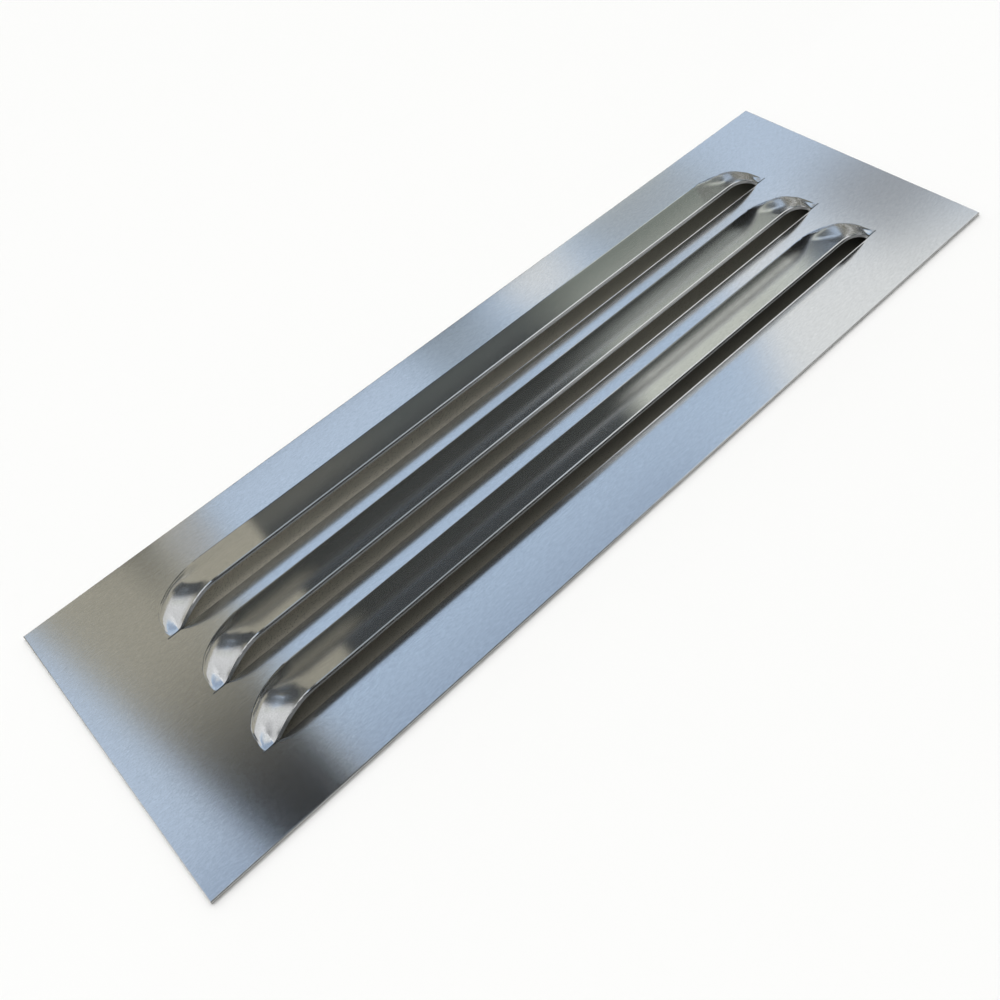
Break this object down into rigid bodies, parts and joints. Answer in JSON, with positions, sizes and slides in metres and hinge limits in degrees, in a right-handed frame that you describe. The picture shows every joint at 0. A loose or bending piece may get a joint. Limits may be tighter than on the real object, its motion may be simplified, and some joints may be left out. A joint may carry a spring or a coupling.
{
  "type": "louvred vent",
  "caption": "Rectangular flat sheet-metal vent panel with long parallel pressed louvres, round-ended and open along one side, for air to pass through a wall, door or cabinet.",
  "frame": {"origin": "middle of the flat back face, which lies on Z = 0", "axes": "+X along the louvres, +Y from the louvre mouths back to their folds, +Z out of the front face"},
  "size_m": [0.4, 0.125, 0.0104],
  "materials": {
    "sheet": "bright mill finish with fine rolling grain along the louvres"
  },
  "bodies": {
    "root": {"louvre_panel": "sheet"}
  },
  "joints": []
}
